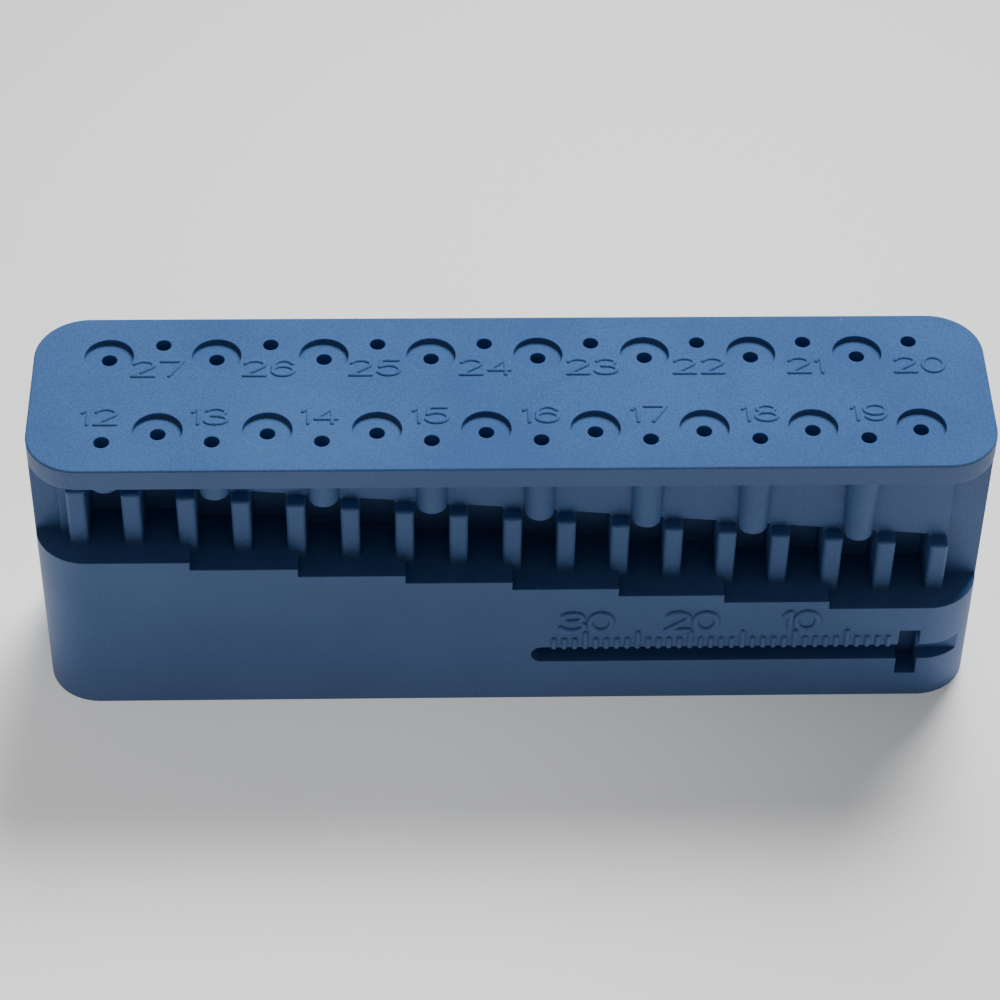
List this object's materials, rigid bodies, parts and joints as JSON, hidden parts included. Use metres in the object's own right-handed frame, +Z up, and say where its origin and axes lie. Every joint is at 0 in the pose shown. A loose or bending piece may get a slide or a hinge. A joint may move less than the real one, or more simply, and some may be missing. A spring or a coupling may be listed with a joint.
{
  "type": "endodontic measuring block",
  "caption": "Stepped moulded block that sets the working length of root canal files, with guide holes over stepped floors and a slotted ruler.",
  "frame": {"origin": "middle of the underside, under the middle of the top plate", "axes": "+X along the rows of holes towards the ruler's zero, +Y from the ruler's face to the back, +Z up"},
  "size_m": [0.089, 0.0207, 0.0313],
  "materials": {
    "blue_plastic": "fine spark-eroded texture, matte, through-coloured blue"
  },
  "bodies": {
    "root": {"measuring_block": "blue_plastic"}
  },
  "joints": []
}
